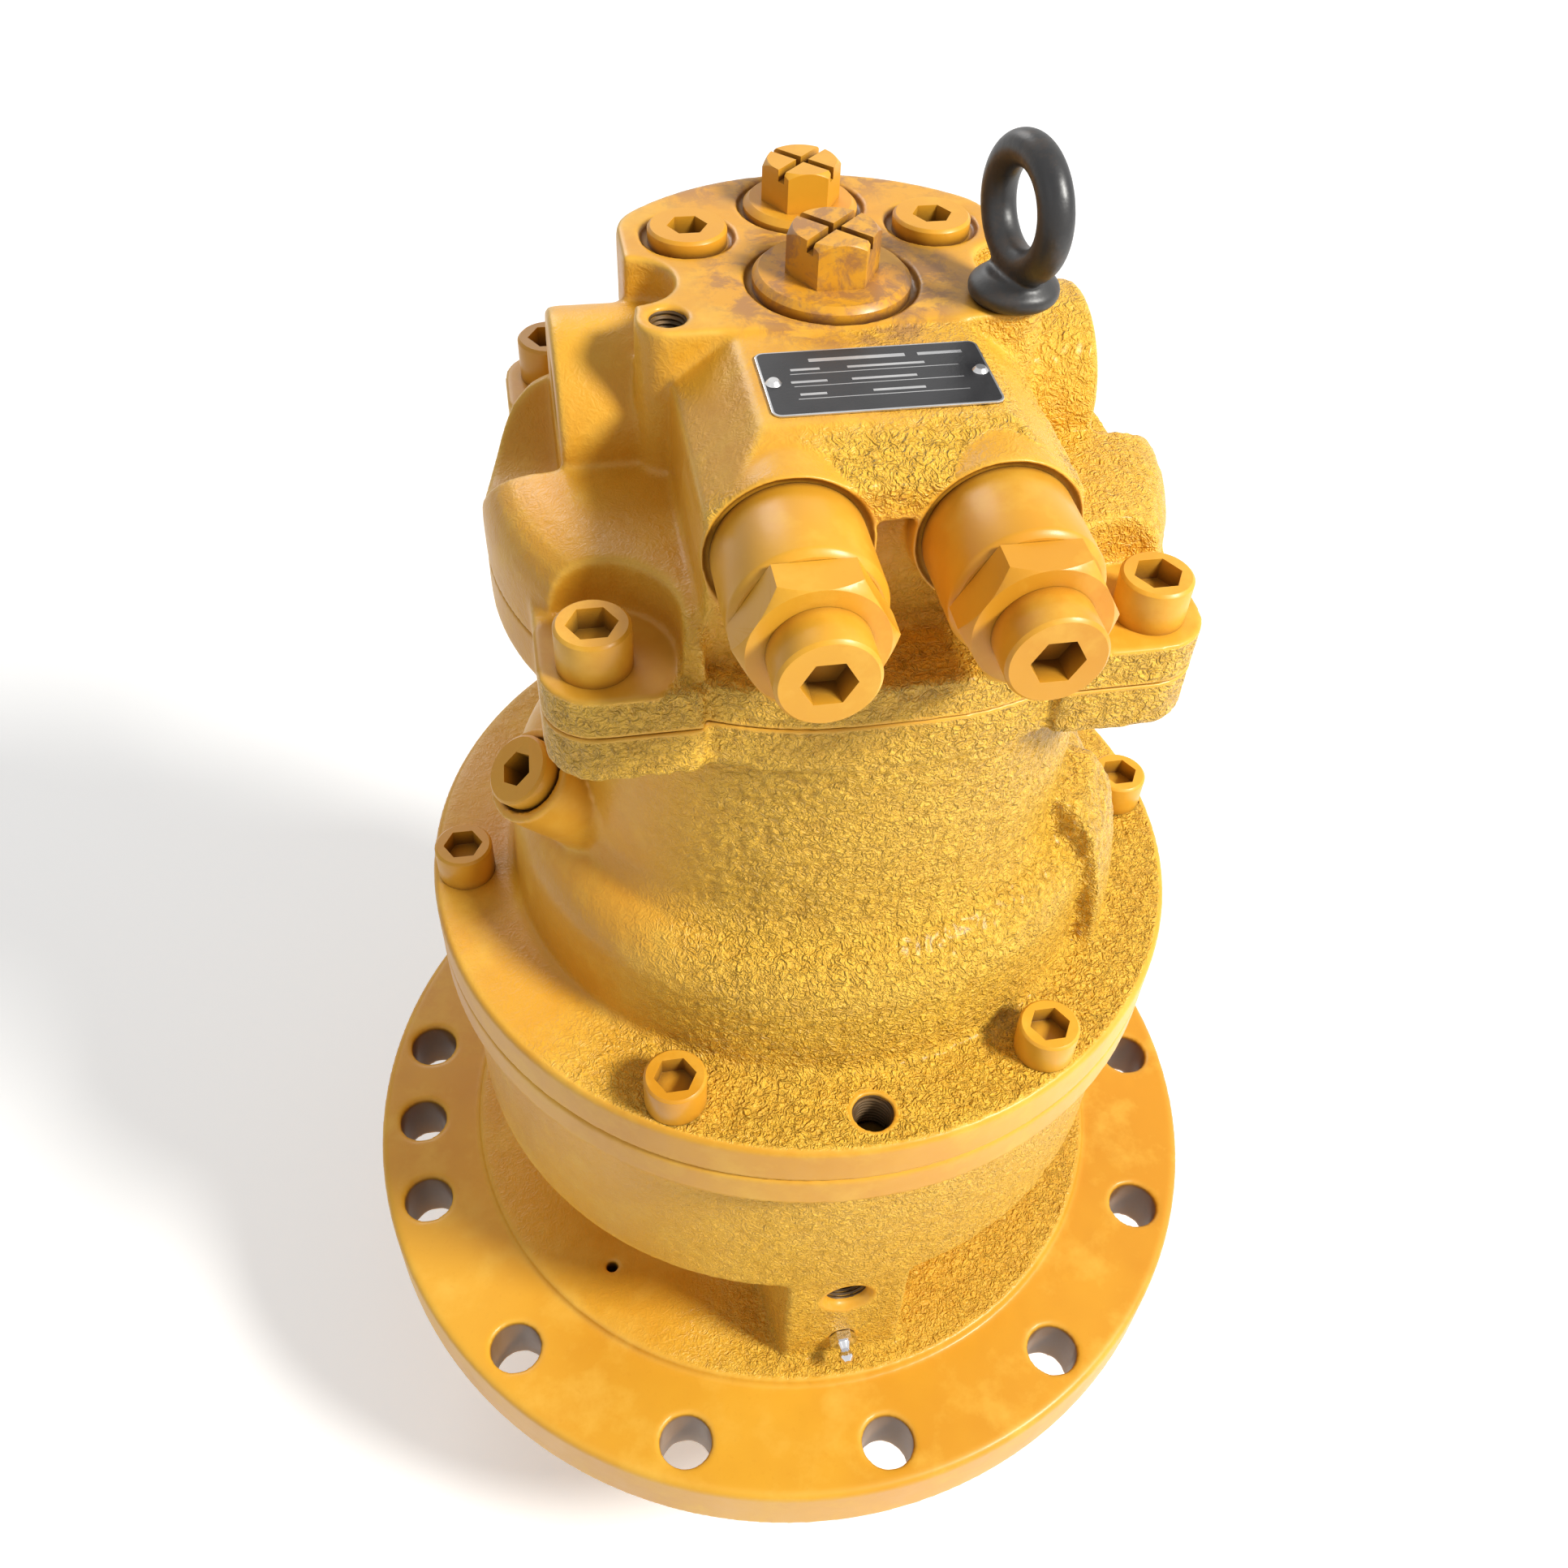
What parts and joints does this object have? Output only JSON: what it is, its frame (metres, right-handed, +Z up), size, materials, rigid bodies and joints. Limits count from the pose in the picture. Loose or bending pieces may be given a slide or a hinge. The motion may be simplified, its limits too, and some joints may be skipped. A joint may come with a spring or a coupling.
{
  "type": "excavator swing motor",
  "caption": "Vertical hydraulic swing drive with round mounting flange, two-stage planetary case, cast motor casing, valve cover and output pinion.",
  "frame": {"origin": "centre of the mounting flange at its underside", "axes": "+Z up along the output shaft towards the port cover, -Y to the front where the relief valves point, +X to the right seen from the front"},
  "size_m": [0.43, 0.4298, 0.689],
  "materials": {
    "enamel": "glossy yellow-orange enamel over cast iron",
    "steel": "ground steel",
    "dark_steel": "hardened, oiled",
    "bronze": "machined bronze",
    "rubber": "matt",
    "black_oxide": "black, slightly oily",
    "plate_black": "black print with bare metal border",
    "chrome": "bright plated"
  },
  "bodies": {
    "housing": {"lower_case": "enamel", "motor_casing": "enamel", "port_cover": "enamel", "case_bolts": "enamel", "cover_bolts": "enamel", "relief_body_left": "enamel", "relief_body_right": "enamel", "relief_nut_left": "enamel", "relief_nut_right": "enamel", "relief_cap_left": "enamel", "relief_cap_right": "enamel", "makeup_plug_front": "enamel", "makeup_plug_back": "enamel", "makeup_spring_front": "dark_steel", "makeup_spring_back": "dark_steel", "gauge_plugs": "enamel", "nameplate": "plate_black", "nameplate_rivets": "steel", "eye_bolt": "black_oxide", "drain_plug": "enamel", "grease_fitting": "chrome", "case_seal_ring": "rubber", "cover_seal_ring": "rubber", "shaft_bearing_lower": "steel", "shaft_bearing_upper": "steel", "shaft_seal": "rubber", "valve_plate": "bronze", "swash_plate": "steel", "separator_plates": "steel", "brake_springs": "dark_steel", "ring_gear": "steel", "output_bearing_upper": "steel", "output_bearing_lower": "steel", "output_seal": "rubber"},
    "output": {"output_shaft": "steel", "carrier_2": "dark_steel", "planet_pins_2": "dark_steel"},
    "first_carrier": {"carrier_1": "dark_steel", "planet_pins_1": "dark_steel", "sun_gear_2": "steel"},
    "motor": {"drive_shaft": "steel", "cylinder_block": "steel", "pistons": "bronze", "retainer_plate": "steel", "friction_discs": "dark_steel", "sun_gear_1": "steel"},
    "brake": {"brake_piston": "steel"},
    "planet_1a": {"planet_1a": "steel"},
    "planet_2a": {"planet_2a": "steel"},
    "planet_1b": {"planet_1b": "steel"},
    "planet_2b": {"planet_2b": "steel"},
    "planet_1c": {"planet_1c": "steel"},
    "planet_2c": {"planet_2c": "steel"},
    "relief_left": {"relief_poppet_left": "steel", "relief_spring_left": "dark_steel"},
    "relief_right": {"relief_poppet_right": "steel", "relief_spring_right": "dark_steel"},
    "makeup_front": {"makeup_poppet_front": "steel"},
    "makeup_back": {"makeup_poppet_back": "steel"}
  },
  "joints": [
    {"name": "output_spin", "type": "hinge", "parent": "housing", "child": "output", "pos_m": [0, 0, 0], "axis": [0, 0, 1], "continuous": true},
    {"name": "first_carrier_spin", "type": "hinge", "parent": "housing", "child": "first_carrier", "pos_m": [0, 0, 0.17], "axis": [0, 0, 1], "continuous": true},
    {"name": "motor_spin", "type": "hinge", "parent": "housing", "child": "motor", "pos_m": [0, 0, 0.3], "axis": [0, 0, 1], "continuous": true},
    {"name": "planet_1a_spin", "type": "hinge", "parent": "first_carrier", "child": "planet_1a", "pos_m": [0.072, 0, 0.194], "axis": [0, 0, 1], "continuous": true},
    {"name": "planet_2a_spin", "type": "hinge", "parent": "output", "child": "planet_2a", "pos_m": [0.078, 0, 0.139], "axis": [0, 0, 1], "continuous": true},
    {"name": "planet_1b_spin", "type": "hinge", "parent": "first_carrier", "child": "planet_1b", "pos_m": [-0.036, 0.06235, 0.194], "axis": [0, 0, 1], "continuous": true},
    {"name": "planet_2b_spin", "type": "hinge", "parent": "output", "child": "planet_2b", "pos_m": [-0.039, 0.06755, 0.139], "axis": [0, 0, 1], "continuous": true},
    {"name": "planet_1c_spin", "type": "hinge", "parent": "first_carrier", "child": "planet_1c", "pos_m": [-0.036, -0.06235, 0.194], "axis": [0, 0, 1], "continuous": true},
    {"name": "planet_2c_spin", "type": "hinge", "parent": "output", "child": "planet_2c", "pos_m": [-0.039, -0.06755, 0.139], "axis": [0, 0, 1], "continuous": true},
    {"name": "relief_left_slide", "type": "slide", "parent": "housing", "child": "relief_left", "axis": [0, -1, 0], "range_m": [0, 0.003], "stiffness_N_per_m": 20000, "springref_m": -0.004},
    {"name": "relief_right_slide", "type": "slide", "parent": "housing", "child": "relief_right", "axis": [0, -1, 0], "range_m": [0, 0.003], "stiffness_N_per_m": 20000, "springref_m": -0.004},
    {"name": "makeup_front_slide", "type": "slide", "parent": "housing", "child": "makeup_front", "axis": [0, 0, 1], "range_m": [0, 0.004], "stiffness_N_per_m": 2000, "springref_m": -0.004, "deforming": ["makeup_spring_front"]},
    {"name": "makeup_back_slide", "type": "slide", "parent": "housing", "child": "makeup_back", "axis": [0, 0, 1], "range_m": [0, 0.004], "stiffness_N_per_m": 2000, "springref_m": -0.004, "deforming": ["makeup_spring_back"]},
    {"name": "brake_slide", "type": "slide", "parent": "housing", "child": "brake", "axis": [0, 0, 1], "range_m": [0, 0.0025], "stiffness_N_per_m": 200000, "springref_m": -0.008, "deforming": ["brake_springs"]}
  ],
  "couplings": [
    {"joint": "first_carrier_spin", "follows": "output_spin", "ratio": 3.7143},
    {"joint": "motor_spin", "follows": "output_spin", "ratio": 17.829},
    {"joint": "planet_1a_spin", "follows": "output_spin", "ratio": -10.082},
    {"joint": "planet_2a_spin", "follows": "output_spin", "ratio": -3.1667},
    {"joint": "planet_1b_spin", "follows": "output_spin", "ratio": -10.082},
    {"joint": "planet_2b_spin", "follows": "output_spin", "ratio": -3.1667},
    {"joint": "planet_1c_spin", "follows": "output_spin", "ratio": -10.082},
    {"joint": "planet_2c_spin", "follows": "output_spin", "ratio": -3.1667}
  ]
}
